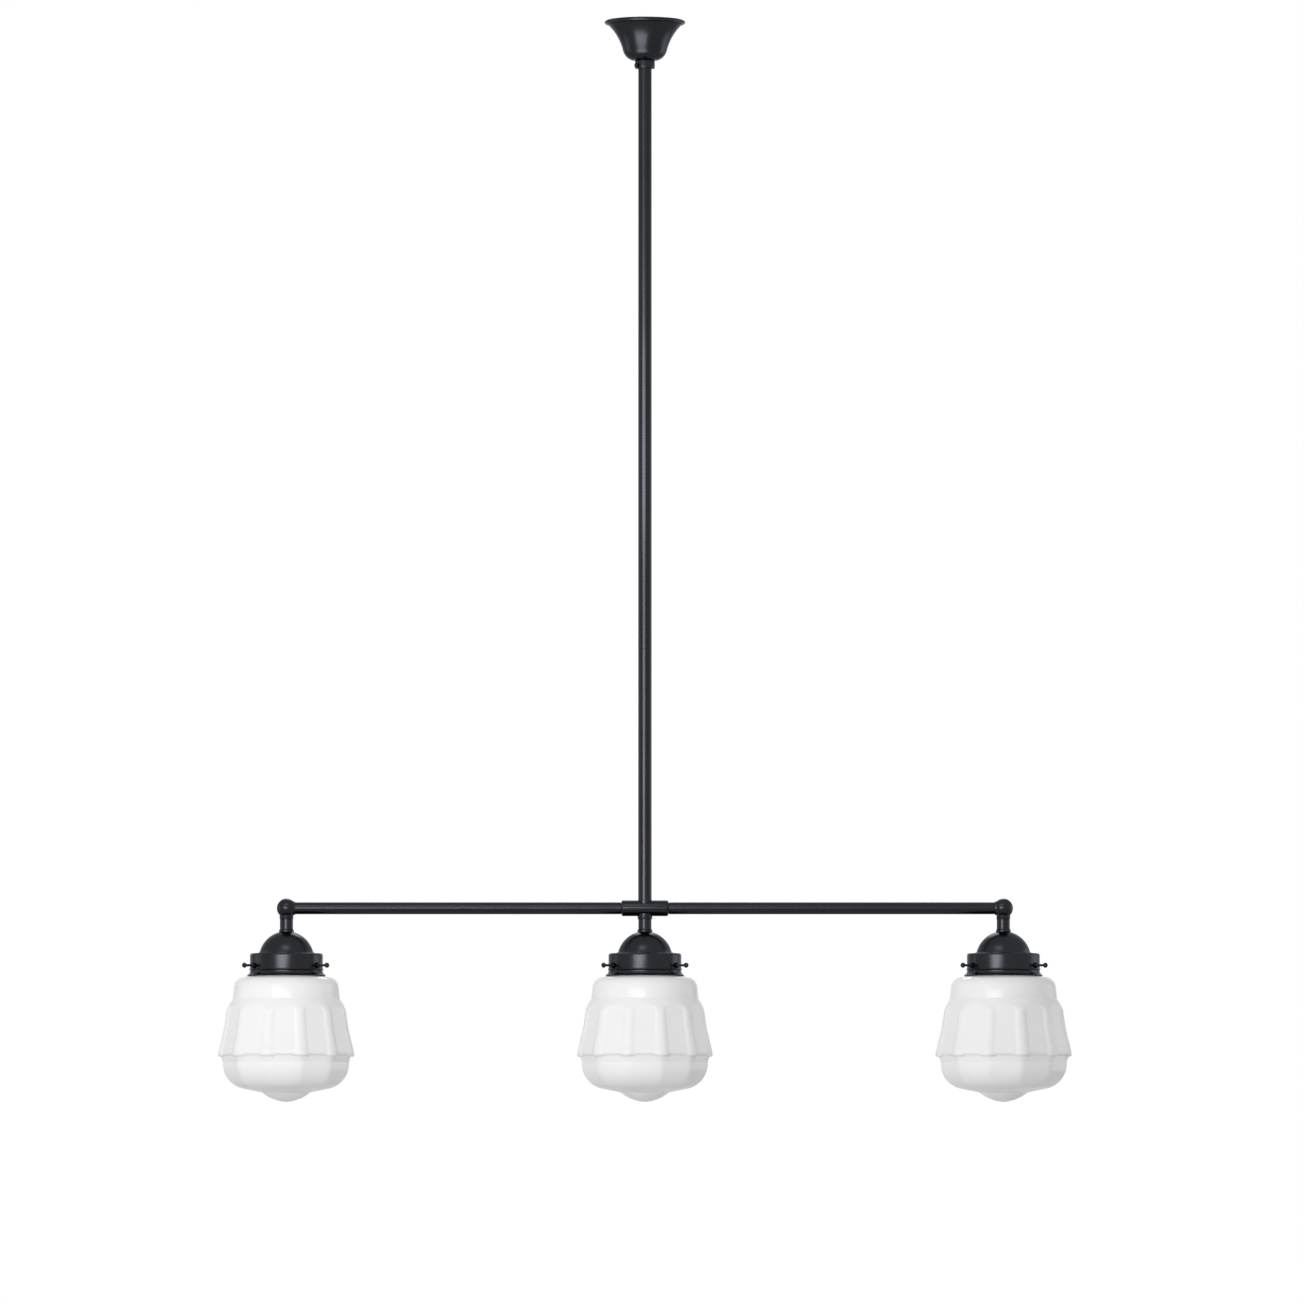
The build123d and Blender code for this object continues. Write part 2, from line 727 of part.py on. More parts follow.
# The shade: a fluted skirt with a rounded crown and a scalloped hem, over the bowl, with
# a round shoulder and neck above. The inside is smooth.
skirt_sections = (
    (band_depth, skirt_top_reach, skirt_top_rib),
    (skirt_middle_depth, skirt_middle_reach, skirt_middle_rib),
    (skirt_hem_depth, skirt_hem_reach, skirt_hem_rib),
)
with BuildPart() as glass_shade:
    for depth, reach, rib_radius in skirt_sections:
        with BuildSketch(Plane.XY.offset(glass_z(depth))):
            RegularPolygon(
                reach - flute_relief, panels, major_radius=False, rotation=panel_angle / 2
            )
            with PolarLocations(rib_centre(reach, rib_radius), panels, panel_angle / 2):
                Circle(rib_radius)
    loft(ruled=True)
    with BuildSketch(Plane.XZ):
        with BuildLine():
            crown = ThreePointArc(
                (crown_start_radius, glass_z(band_depth)),
                (crown_middle_radius, glass_z(band_depth + crown_middle_drop)),
                (crown_end_radius, glass_z(band_depth + crown_end_drop)),
            )
            Polyline(
                crown @ 1,
                (2 * skirt_hem_reach, glass_z(band_depth + crown_end_drop)),
                (2 * skirt_hem_reach, glass_z(skirt_hem_depth)),
                (0, glass_z(skirt_hem_depth)),
                (0, glass_z(band_depth)),
                crown @ 0,
            )
        make_face()
    revolve(axis=Axis.Z, mode=Mode.INTERSECT)
    for drop, inset in ((0, flute_relief), (hem_height, hem_inset)):
        with BuildSketch(Plane.XY.offset(glass_z(skirt_hem_depth + drop))):
            RegularPolygon(
                skirt_hem_reach - inset, panels, major_radius=False, rotation=panel_angle / 2
            )
    loft(ruled=True)
    with PolarLocations(0, panels):
        add(glass_tab.part)
    add(glass_bowl.part)
    with BuildSketch(Plane.XZ):
        with BuildLine():
            FilletPolyline(
                (neck_radius, glass_z(0)),
                (neck_radius, glass_z(neck_depth)),
                (shoulder_radius, glass_z(shoulder_depth)),
                (band_radius, glass_z(band_depth)),
                radius=[neck_round, shoulder_round],
            )
            FilletPolyline(
                (neck_radius, glass_z(0)),
                (lip_radius, glass_z(0)),
                (lip_radius, glass_z(-lip_height)),
                (0, glass_z(-lip_height)),
                radius=[lip_round, lip_round],
            )
            Polyline(
                (0, glass_z(-lip_height)),
                (0, glass_z(band_depth)),
                (band_radius, glass_z(band_depth)),
            )
        make_face()
    revolve(axis=Axis.Z)
    with BuildSketch(Plane.XZ):
        with BuildLine():
            knob = ThreePointArc(
                (0, glass_z(knob_tip_depth)),
                (knob_shoulder_radius, glass_z(knob_tip_depth - knob_shoulder_lift)),
                (knob_radius, glass_z(knob_depth)),
            )
            Polyline(knob @ 1, (0, glass_z(knob_depth)), knob @ 0)
        make_face()
    revolve(axis=Axis.Z)
    with BuildSketch(Plane.XZ):
        with BuildLine():
            inner_bowl = bowl_reach - glass_wall
            inner_skirt = skirt_middle_reach - flute_relief - glass_wall
            inner_hem = skirt_hem_reach - 1.5 * glass_wall
            FilletPolyline(
                (neck_radius - glass_wall, glass_z(-lip_height)),
                (neck_radius - glass_wall, glass_z(neck_depth + glass_wall)),
                (shoulder_radius - glass_wall, glass_z(shoulder_depth + glass_wall)),
                (band_radius - glass_wall, glass_z(band_depth + glass_wall)),
                (
                    crown_middle_radius - glass_wall,
                    glass_z(band_depth + crown_middle_drop + glass_wall),
                ),
                (inner_skirt, glass_z(skirt_middle_depth)),
                (inner_hem, glass_z(skirt_hem_depth - hem_hollow_rise)),
                (inner_bowl, glass_z(bowl_waist_depth)),
                (inner_bowl, bowl_corner_z + glass_wall / 2),
                (knob_radius, glass_z(knob_depth - glass_wall)),
                (0, glass_z(knob_tip_depth - glass_wall)),
                radius=[
                    neck_round,
                    shoulder_round - glass_wall,
                    inner_round,
                    inner_round,
                    inner_round,
                    neck_round,
                    neck_round,
                    bowl_corner_round - glass_wall,
                    inner_round,
                ],
            )
            Polyline(
                (0, glass_z(knob_tip_depth - glass_wall)),
                (0, glass_z(-lip_height)),
                (neck_radius - glass_wall, glass_z(-lip_height)),
            )
        make_face()
    revolve(axis=Axis.Z, mode=Mode.SUBTRACT)

# ------------------------------------------------------------------ the three lamps

lamp_pieces = {
    "stem": stem,
    "nipple": nipple,
    "dome": dome,
    "gallery": gallery,
    "lamp_cap": lamp_cap,
    "lamp_core": lamp_core,
    "screw_shell": screw_shell,
    "lamp_shell": lamp_shell,
    "shade_ring": shade_ring,
    "glass": glass_shade,
}
for side, lamp_x in lamp_places.items():
    for piece_name, piece in lamp_pieces.items():
        write(Pos(lamp_x, 0, 0) * piece.part, f"{piece_name}_{side}")
    for letter, angle in zip("abc", screw_angles):
        placed_screw = Pos(lamp_x, 0, screw_z) * Rot(0, 0, angle) * thumbscrew.part
        write(placed_screw, f"thumbscrew_{side}_{letter}")

# ------------------------------------------------------------------ connector and wiring

# The connector hangs on the three leads behind the eye. Each pole has a clamping screw for
# the lead below and one for the supply wire above.
block_bottom_z = rod_top_z + block_bottom_height
block_middle_y = block_offset + block_depth / 2
pole_pitch = block_width / block_poles
block_back = Plane(
    origin=(0, block_offset + block_depth, block_bottom_z + block_height / 2),
    x_dir=(1, 0, 0),
    z_dir=(0, 1, 0),
)
with BuildPart() as terminal_block:
    with BuildSketch(Plane.XY.offset(block_bottom_z)):
        with Locations((0, block_middle_y)):
            RectangleRounded(block_width, block_depth, block_depth / 6)
    extrude(amount=block_height)
    with BuildSketch(block_back):
        with GridLocations(pole_pitch, block_height / 2, block_poles, 2):
            Circle(block_turret_radius)
    extrude(amount=block_turret_height)
    with BuildSketch(block_back.offset(block_turret_height)):
        with GridLocations(pole_pitch, block_height / 2, block_poles, 2):
            Circle(block_screw_radius + socket_gap)
    extrude(amount=-block_turret_height - block_depth / 2 + lead_radius, mode=Mode.SUBTRACT)
    for face_z, inward in ((block_bottom_z, 1), (block_bottom_z + block_height, -1)):
        with BuildSketch(Plane.XY.offset(face_z)):
            with Locations((0, block_middle_y)):
                with GridLocations(pole_pitch, 0, block_poles, 1):
                    Circle(lead_radius + socket_gap)
        extrude(amount=inward * block_entry, mode=Mode.SUBTRACT)
terminal_block.part.label = "terminal_block"
export_step(terminal_block.part, "parts/terminal_block.step")

with BuildPart() as terminal_screws:
    with BuildSketch(block_back.offset(block_turret_height - block_screw_sink)):
        with GridLocations(pole_pitch, block_height / 2, block_poles, 2):
            Circle(block_screw_radius)
    extrude(amount=block_screw_sink - block_turret_height - block_depth / 2 + lead_radius)
    with BuildSketch(block_back.offset(block_turret_height - block_screw_sink)):
        with GridLocations(pole_pitch, block_height / 2, block_poles, 2):
            Rectangle(2 * block_screw_radius, block_screw_radius / 3)
    extrude(amount=-block_screw_sink, mode=Mode.SUBTRACT)
terminal_screws.part.label = "terminal_screws"
export_step(terminal_screws.part, "parts/terminal_screws.step")

lead_end_z = block_bottom_z + block_entry
high_exit_z = wire_hole_z + lead_exit_rise
low_exit_z = wire_hole_z - lead_exit_drop
with BuildPart() as lead_centre:
    with BuildLine() as middle_route:
        FilletPolyline(
            (0, lead_back, core_top_z),
            (0, lead_back, low_exit_z),
            (0, block_middle_y, low_exit_z),
            (0, block_middle_y, lead_end_z),
            radius=[lead_exit_bend, lead_tail_bend],
        )
    with BuildSketch(Plane.XY.offset(core_top_z)):
        with Locations((0, lead_back)):
            Circle(lead_radius)
    sweep(path=middle_route.line)
lead_centre.part.label = "lead_centre"
export_step(lead_centre.part, "parts/lead_centre.step")

with BuildPart() as lead_side:
    with BuildLine() as side_route:
        FilletPolyline(
            (lamp_spacing, -lead_front, core_top_z),
            (lamp_spacing, -lead_front, bar_z),
            (lead_offset, -lead_front, bar_z),
            (lead_offset, -lead_front, high_exit_z),
            (lead_offset, rod_radius, high_exit_z),
            (pole_pitch, block_middle_y, high_exit_z),
            (pole_pitch, block_middle_y, lead_end_z),
            radius=[lead_bend, lead_bend, lead_exit_bend, lead_exit_bend, lead_tail_bend],
        )
    with BuildSketch(Plane.XY.offset(core_top_z)):
        with Locations((lamp_spacing, -lead_front)):
            Circle(lead_radius)
    sweep(path=side_route.line)
write(mirror(lead_side.part, about=Plane.YZ), "lead_left")
write(lead_side.part, "lead_right")
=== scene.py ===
import json
import math

import bpy
from mathutils import Matrix, Vector


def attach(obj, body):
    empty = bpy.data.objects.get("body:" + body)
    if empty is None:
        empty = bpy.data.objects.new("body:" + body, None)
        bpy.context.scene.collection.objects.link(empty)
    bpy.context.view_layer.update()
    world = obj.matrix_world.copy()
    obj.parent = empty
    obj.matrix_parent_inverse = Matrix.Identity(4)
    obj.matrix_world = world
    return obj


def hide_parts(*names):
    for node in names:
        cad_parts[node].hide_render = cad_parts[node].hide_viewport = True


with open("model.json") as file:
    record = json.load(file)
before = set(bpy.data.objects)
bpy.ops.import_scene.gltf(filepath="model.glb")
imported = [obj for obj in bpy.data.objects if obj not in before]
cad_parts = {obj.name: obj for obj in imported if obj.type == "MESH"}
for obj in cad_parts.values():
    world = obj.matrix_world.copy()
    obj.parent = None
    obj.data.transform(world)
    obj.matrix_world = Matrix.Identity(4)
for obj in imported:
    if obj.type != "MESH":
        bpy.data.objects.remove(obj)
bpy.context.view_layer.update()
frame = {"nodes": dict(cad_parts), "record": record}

# Every length below is in mm. Heights are measured from the ceiling, which is at zero.
MM = 0.001
LAMPS = {"left": -425.0, "centre": 0.0, "right": 425.0}
SCREW_ANGLES = {"a": 90.0, "b": 210.0, "c": 330.0}
BAR_Z = -1056.8
SEAT_Z = -1069.8
DOME_TOP = -1085.2
GALLERY_TOP = -1110.3
SCREW_Z = -1124.9
GLASS_REST = -1123.1
ROSE_FOOT = -47.6
ROD_TOP, ROD_FOOT = -42.85, -1060.0
ROD_RADIUS, ROD_BORE = 7.95, 6.7
BAR_START, BAR_END = 7.85, 418.8
BAR_RADIUS, BAR_BORE, BAR_GAP_RADIUS = 7.15, 5.95, 6.5
ELBOW_RADIUS = 11.5
NIPPLE_BORE = 5.05
BOSS_FOOT = -13.0
SCREW_SHANK = 1.5


# ------------------------------------------------------------------ profile helpers


def arc(centre, radius, start, end, steps):
    """Points on an arc about a centre, from one angle to another in degrees."""
    points = []
    for step in range(steps + 1):
        angle = math.radians(start + (end - start) * step / steps)
        points.append((centre[0] + radius * math.cos(angle), centre[1] + radius * math.sin(angle)))
    return points


def arc_through(first, middle, last, steps):
    """Points on the arc through three points."""
    (ax, ay), (bx, by), (cx, cy) = first, middle, last
    d = 2 * (ax * (by - cy) + bx * (cy - ay) + cx * (ay - by))
    a2, b2, c2 = ax * ax + ay * ay, bx * bx + by * by, cx * cx + cy * cy
    ux = (a2 * (by - cy) + b2 * (cy - ay) + c2 * (ay - by)) / d
    uy = (a2 * (cx - bx) + b2 * (ax - cx) + c2 * (bx - ax)) / d
    radius = math.hypot(ax - ux, ay - uy)
    angles = [math.degrees(math.atan2(y - uy, x - ux)) for x, y in (first, middle, last)]
    start, through, end = angles
    for turn in (-360, 0, 360):
        for other in (-360, 0, 360):
            if min(start, end + turn) <= through + other <= max(start, end + turn):
                if abs(end + turn - start) < 360:
                    return arc((ux, uy), radius, start, end + turn, steps)
    return [first, middle, last]


def rounded(points, radii, steps=5, closed=False):
    """The polyline with its corners rounded, as far as its sides have room for."""
    count = len(points)
    radii = radii if isinstance(radii, (list, tuple)) else [radii] * count
    corners, reaches = [], []
    for index, point in enumerate(points):
        here = Vector(point)
        to_last = Vector(points[index - 1]) - here
        to_next = Vector(points[(index + 1) % count]) - here
        at_end = not closed and index in (0, count - 1)
        half = to_last.angle(to_next) / 2
        plain = at_end or radii[index] <= 0 or half > math.radians(89.5)
        corners.append((here, to_last, to_next, half))
        reaches.append(0.0 if plain else radii[index] / math.tan(half))
    for index in range(count if closed else count - 1):
        after = (index + 1) % count
        both = reaches[index] + reaches[after]
        room = 0.98 * corners[index][2].length
        if both > room:
            reaches[index] *= room / both
            reaches[after] *= room / both
    out = []
    for (here, to_last, to_next, half), reach in zip(corners, reaches):
        if reach == 0.0:
            out.append(tuple(here))
            continue
        size = reach * math.tan(half)
        start = here + to_last.normalized() * reach
        end = here + to_next.normalized() * reach
        middle = here + (to_last.normalized() + to_next.normalized()).normalized() * (
            size / math.sin(half) - size
        )
        out.extend(arc_through(tuple(start), tuple(middle), tuple(end), steps))
    return out


# ------------------------------------------------------------------ mesh helpers

ON_AXIS = 1e-6


def finish_mesh(name, verts, faces, sharp=32.0):
    """A smooth-shaded object whose edges over the sharp angle stay crisp. Points are in mm."""
    mesh = bpy.data.meshes.new(name)
    mesh.from_pydata([tuple(c * MM for c in v) for v in verts], [], faces)
    mesh.validate()
    mesh.shade_smooth()
    mesh.set_sharp_from_angle(angle=math.radians(sharp))
    piece = bpy.data.objects.new(name, mesh)
    bpy.context.scene.collection.objects.link(piece)
    return piece


def revolve(profile, segments=96, closed=True, turn=None):
    """Vertices and faces of a profile of (radius, height) points turned about Z.

    turn, where given, changes a point's radius by its angle: turn(radius, height, angle).
    """
    verts, faces, rings = [], [], []
    for radius, height in profile:
        if radius < ON_AXIS:
            rings.append([len(verts)] * segments)
            verts.append((0.0, 0.0, height))
            continue
        ring = []
        for step in range(segments):
            angle = 2 * math.pi * step / segments
            r = turn(radius, height, angle) if turn else radius
            ring.append(len(verts))
            verts.append((r * math.cos(angle), r * math.sin(angle), height))
        rings.append(ring)
    pairs = list(zip(rings, rings[1:]))
    if closed:
        pairs.append((rings[-1], rings[0]))
    for low, high in pairs:
        for step in range(segments):
            nxt = (step + 1) % segments
            face = [low[step], low[nxt], high[nxt], high[step]]
            face = [v for i, v in enumerate(face) if v != face[i - 1]]
            if len(face) > 2:
                faces.append(face)
    return verts, faces


def outward(verts, faces):
    """Turns the faces over if the closed mesh is inside out."""
    volume = 0.0
    for face in faces:
        a = Vector(verts[face[0]])
        for i in range(1, len(face) - 1):
            volume += a.dot(Vector(verts[face[i]]).cross(Vector(verts[face[i + 1]])))
    return faces if volume > 0 else [list(reversed(f)) for f in faces]


def solid(name, parts, sharp=32.0):
    """One object from several closed parts, each (verts, faces, matrix in mm)."""
    all_verts, all_faces = [], []
    for verts, faces, matrix in parts:
        placed = [tuple(matrix @ Vector(v)) for v in verts]
        base = len(all_verts)
        for face in outward(placed, faces):
            all_faces.append([v + base for v in face])
        all_verts.extend(placed)
    return finish_mesh(name, all_verts, all_faces, sharp)


def upright(x=0.0, y=0.0, z=0.0):
    """Moves a part and leaves its own Z axis upright."""
    return Matrix.Translation((x, y, z))


def along_x(x=0.0, y=0.0, z=0.0):
    """Turns a part's own Z axis to +X."""
    return Matrix.Translation((x, y, z)) @ Matrix.Rotation(math.pi / 2, 4, "Y")


def radial(angle, x=0.0, z=0.0):
    """Turns a part's own Z axis to point straight out from a lamp's axis."""
    return (
        Matrix.Translation((x, 0, z))
        @ Matrix.Rotation(math.radians(angle), 4, "Z")
        @ Matrix.Rotation(math.pi / 2, 4, "Y")
    )


# ------------------------------------------------------------------ materials


class Nodes:
    """A small helper that builds a material's node tree."""

    def __init__(self, name):
        self.material = bpy.data.materials.new(name)
        self.material.use_nodes = True
        self.tree = self.material.node_tree
        self.tree.nodes.clear()
        self.out = self.add("ShaderNodeOutputMaterial")
        self.shader = self.add("ShaderNodeBsdfPrincipled")
        self.link(self.shader, "BSDF", self.out, "Surface")
        self.coords = self.add("ShaderNodeTexCoord")

    def add(self, kind, **values):
        node = self.tree.nodes.new(kind)
        for key, value in values.items():
            setattr(node, key, value)
        return node

    def link(self, a, out, b, into):
        self.tree.links.new(a.outputs[out], b.inputs[into])

    def set(self, **values):
        """Sets constants on the shader, named with _ for each space."""
        for key, value in values.items():
            self.shader.inputs[key.replace("_", " ")].default_value = value

    def space(self, scale=(1, 1, 1)):
        """The object's own coordinates, stretched."""
        mapping = self.add("ShaderNodeMapping")
        mapping.inputs["Scale"].default_value = scale
        self.link(self.coords, "Object", mapping, "Vector")
        return mapping

    def noise(self, scale, detail=4.0, rough=0.5, stretch=(1, 1, 1)):
        node = self.add("ShaderNodeTexNoise")
        node.inputs["Scale"].default_value = scale
        node.inputs["Detail"].default_value = detail
        node.inputs["Roughness"].default_value = rough
        self.link(self.space(stretch), "Vector", node, "Vector")
        return node

    def ramp(self, source, stops, out="Fac"):
        """Colours a texture by stops of (place, colour)."""
        node = self.add("ShaderNodeValToRGB")
        elements = node.color_ramp.elements
        while len(elements) < len(stops):
            elements.new(0.5)
        for element, (place, colour) in zip(elements, stops):
            element.position = place
            element.color = (*colour, 1.0)
        self.link(source, out, node, "Fac")
        return node

    def span(self, source, low, high):
        """Spreads a texture's values from low to high."""
        node = self.add("ShaderNodeMapRange")
        node.inputs["From Min"].default_value = 0.3
        node.inputs["From Max"].default_value = 0.7
        node.inputs["To Min"].default_value = low
        node.inputs["To Max"].default_value = high
        self.link(source, "Fac", node, "Value")
        return node

    def bump(self, source, strength, distance, before=None):
        """Fine relief from a texture, on top of the relief before it."""
        node = self.add("ShaderNodeBump")
        node.inputs["Strength"].default_value = strength
        node.inputs["Distance"].default_value = distance
        self.link(source, "Fac", node, "Height")
        if before:
            self.link(before, "Normal", node, "Normal")
        return node


def black_metal():
    """Satin black lacquer over metal, with a faint orange peel."""
    n = Nodes("black_metal")
    broad = n.noise(14.0, 3.0)
    fine = n.noise(900.0, 3.0, 0.6)
    peel = n.noise(120.0, 2.0)
    n.link(n.ramp(broad, [(0.3, (0.0240, 0.0247, 0.0284)), (0.7, (0.0264, 0.0272, 0.0314))]),
           "Color", n.shader, "Base Color")
    n.link(n.span(fine, 0.25, 0.265), "Result", n.shader, "Roughness")
    soft = n.bump(peel, 0.004, 0.0002)
    n.link(n.bump(fine, 0.002, 0.00001, before=soft), "Normal", n.shader, "Normal")
    n.set(Metallic=1.0, Specular_Tint=(0.62, 0.64, 0.68, 1.0))
    return n.material


def opal_glass():
    """Milky pressed glass with a slow wave in its surface."""
    n = Nodes("opal_glass")
    cloud = n.noise(11.0, 3.0)
    wave = n.noise(34.0, 2.0)
    n.link(n.ramp(cloud, [(0.3, (0.875, 0.878, 0.88)), (0.7, (0.90, 0.90, 0.895))]),
           "Color", n.shader, "Base Color")
    n.link(n.span(cloud, 0.10, 0.13), "Result", n.shader, "Roughness")
    n.link(n.bump(wave, 0.06, 0.001), "Normal", n.shader, "Normal")
    n.set(Specular_IOR_Level=0.14, Subsurface_Weight=0.15, Subsurface_Scale=0.002,
          Subsurface_Radius=(1.0, 0.95, 0.9))
    return n.material


def turned_brass():
    """Brass with the fine rings of turning."""
    n = Nodes("brass")
    lines = n.noise(260.0, 4.0, 0.7, (0.05, 0.05, 9.0))
    tint = n.noise(40.0, 3.0)
    n.link(n.ramp(tint, [(0.3, (0.56, 0.39, 0.15)), (0.7, (0.70, 0.50, 0.22))]),
           "Color", n.shader, "Base Color")
    n.link(n.span(lines, 0.22, 0.38), "Result", n.shader, "Roughness")
    n.link(n.bump(lines, 0.15, 0.0001), "Normal", n.shader, "Normal")
    n.set(Metallic=1.0)
    return n.material


def zinc_steel():
    """Zinc plated steel with its crystal pattern."""
    n = Nodes("zinc_steel")
    cells = n.add("ShaderNodeTexVoronoi")
    cells.inputs["Scale"].default_value = 170.0
    n.link(n.space(), "Vector", cells, "Vector")
    fine = n.noise(600.0, 3.0)
    n.link(n.ramp(cells, [(0.0, (0.50, 0.51, 0.53)), (1.0, (0.66, 0.67, 0.69))], "Distance"),
           "Color", n.shader, "Base Color")
    n.link(n.span(fine, 0.30, 0.45), "Result", n.shader, "Roughness")
    n.link(n.bump(fine, 0.08, 0.0001), "Normal", n.shader, "Normal")
    n.set(Metallic=1.0)
    return n.material


def porcelain():
    """Glazed white ceramic."""
    n = Nodes("porcelain")
    cloud = n.noise(60.0, 3.0)
    specks = n.noise(700.0, 2.0)
    n.link(n.ramp(cloud, [(0.3, (0.80, 0.78, 0.73)), (0.7, (0.86, 0.85, 0.81))]),
           "Color", n.shader, "Base Color")
    n.link(n.span(specks, 0.16, 0.24), "Result", n.shader, "Roughness")
    n.link(n.bump(cloud, 0.06, 0.0004), "Normal", n.shader, "Normal")
    n.set(Coat_Weight=0.6, Coat_Roughness=0.06)
    return n.material


def moulded(name, low, high, rough, grain):
    """Moulded plastic between two tints, with a grain of a given fineness."""
    n = Nodes(name)
    cloud = n.noise(70.0, 3.0)
    fine = n.noise(grain, 3.0, 0.6)
    n.link(n.ramp(cloud, [(0.3, low), (0.7, high)]), "Color", n.shader, "Base Color")
    n.link(n.span(fine, rough - 0.05, rough + 0.05), "Result", n.shader, "Roughness")
    n.link(n.bump(fine, 0.12, 0.0001), "Normal", n.shader, "Normal")
    return n.material


MATERIALS = {
    "black_metal": black_metal(),
    "opal_glass": opal_glass(),
    "brass": turned_brass(),
    "zinc_steel": zinc_steel(),
    "porcelain": porcelain(),
    "black_plastic": moulded(
        "black_plastic", (0.010, 0.009, 0.008), (0.018, 0.016, 0.014), 0.25, 500.0
    ),
    "connector_plastic": moulded(
        "connector_plastic", (0.66, 0.64, 0.56), (0.74, 0.72, 0.64), 0.45, 900.0
    ),
    "cable": moulded("cable", (0.012, 0.012, 0.013), (0.022, 0.022, 0.023), 0.42, 1100.0),
}
slot_of = {part["node"]: part["material_slot"] for part in frame["record"]["subparts"]}
for node_name, node in frame["nodes"].items():
    node.data.materials.clear()
    node.data.materials.append(MATERIALS[slot_of[node_name]])


def dress(piece, material, body, *nodes):
    """Gives a piece its material and body, and lets it stand for CAD nodes."""
    if not piece.data.materials:
        piece.data.materials.append(MATERIALS[material])
    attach(piece, body)
    if nodes:
        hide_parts(*nodes)
    return piece


def copy_at(piece, name, x):
    """A second object with the same mesh, moved along the bar."""
    twin = bpy.data.objects.new(name, piece.data)
    twin.location = (x * MM, 0, 0)
    bpy.context.scene.collection.objects.link(twin)
    return twin


# ------------------------------------------------------------------ rose and collar

rose_outer = arc_through((15.5, ROSE_FOOT), (22.32, -43.16), (26.2, -36.0), 12)
rose_outer += arc_through((26.2, -36.0), (33.4, -18.4), (43.9, -5.2), 20)[1:]
rose_rim = arc((45.6, -2.4), 2.4, -138, 122, 24)
rose_inner = arc_through((43.9, -3.6), (32.55, -17.8), (25.2, -36.2), 18)
rose_inner += arc_through((25.2, -36.2), (21.6, -42.4), (15.5, -46.6), 8)[1:]
rose_profile = [(8.25, -47.35), (8.5, ROSE_FOOT)] + rose_outer + rose_rim + rose_inner
rose_profile += [(8.5, -46.6), (8.25, -46.85)]
verts, faces = revolve(rose_profile, 144)
rose = solid("rose_bell", [(verts, faces, upright())], 40)
dress(rose, "black_metal", "rose", "ceiling_rose")

collar_profile = rounded(
    [(8.03, ROSE_FOOT), (11.8, ROSE_FOOT), (11.8, -57.7), (8.03, -57.7)],
    [0.2, 0.7, 1.0, 0.4], 5, True,
)
verts, faces = revolve(collar_profile, 96)
collar = solid("collar_ring", [(verts, faces, upright())])
dress(collar, "black_metal", "rose", "rose_collar")


def thread(start, end, radius, pitch, depth):
    """A run of thread turns as fine ridges along the axis."""
    points = []
    turns = max(1, int((end - start) / pitch))
    step = (end - start) / turns
    for number in range(turns):
        z = start + number * step
        points += [(radius - depth, z), (radius, z + step * 0.35), (radius, z + step * 0.55)]
    points.append((radius - depth, end))
    return points


def fluted(count, depth, inner):
    """Shallow flutes on everything outside a radius."""

    def turn(radius, height, angle):
        if radius < inner:
            return radius
        return radius + depth * (math.cos(count * angle) - 1) / 2

    return turn


def screw_part(tip, shank, head_start, reach, head_radius, dome, edge, flutes):
    """A small screw with a threaded shank and a fluted, domed knob, pointing along Z."""
    profile = [(0, tip), (shank * 0.55, tip)]
    profile += thread(tip + 0.9, head_start - 0.4, shank, 0.75, 0.16)
    profile += rounded(
        [(shank, head_start), (head_radius, head_start), (head_radius, reach - dome)],
        [0, edge, 0], 5,
    )
    ball = (head_radius**2 + dome**2) / (2 * dome)
    low = math.degrees(math.asin((ball - dome) / ball))
    profile += arc((0, reach - ball), ball, low, 90, 8)[1:-1] + [(0, reach)]
    return revolve(profile, 96, False, fluted(flutes, 0.18, head_radius * 0.93))


verts, faces = screw_part(8.25, SCREW_SHANK, 12.6, 15.2, 2.6, 0.7, 0.45, 16)
collar_screw = solid("collar_screw_knob", [(verts, faces, radial(220.0, 0, -54.4))])
dress(collar_screw, "black_metal", "collar_screw", "collar_screw")

# ------------------------------------------------------------------ rod, tee, bars, elbows


def saddle_z(y, radius):
    """The height of a sleeve of this radius at a place across it."""
    return BAR_Z + math.sqrt(radius**2 - y * y)


rod_profile = [(ROD_BORE, ROD_TOP)]
rod_profile += [(ROD_RADIUS, z) for z in (ROD_TOP, -300.0, -700.0, -1040.0, ROD_FOOT)]
rod_profile += [(ROD_BORE, ROD_FOOT), (ROD_BORE, -1040.0)]
verts, faces = revolve(rod_profile, 96)
verts = [(x, y, saddle_z(y, 9.47)) if z == ROD_FOOT else (x, y, z) for x, y, z in verts]
rod = solid("rod_tube", [(verts, faces, upright())])
dress(rod, "black_metal", "suspension", "down_rod")

# A fillet of braze follows the saddle where the rod stands on the tee.
BRAZE_STEPS, BRAZE_SIDES, BRAZE_RADIUS = 96, 8, 0.45
braze_verts, braze_faces = [], []
for step in range(BRAZE_STEPS):
    angle = 2 * math.pi * step / BRAZE_STEPS
    z = saddle_z(ROD_RADIUS * math.sin(angle), 9.45)
    for side in range(BRAZE_SIDES):
        round_angle = 2 * math.pi * side / BRAZE_SIDES
        r = ROD_RADIUS + BRAZE_RADIUS * math.cos(round_angle)
        rise = BRAZE_RADIUS * math.sin(round_angle)
        braze_verts.append((r * math.cos(angle), r * math.sin(angle), z + rise))
for step in range(BRAZE_STEPS):
    low, high = step * BRAZE_SIDES, (step + 1) % BRAZE_STEPS * BRAZE_SIDES
    for side in range(BRAZE_SIDES):
        nxt = (side + 1) % BRAZE_SIDES
        braze_faces.append([low + side, high + side, high + nxt, low + nxt])
braze = solid("rod_braze", [(braze_verts, braze_faces, upright())])
dress(braze, "black_metal", "suspension")

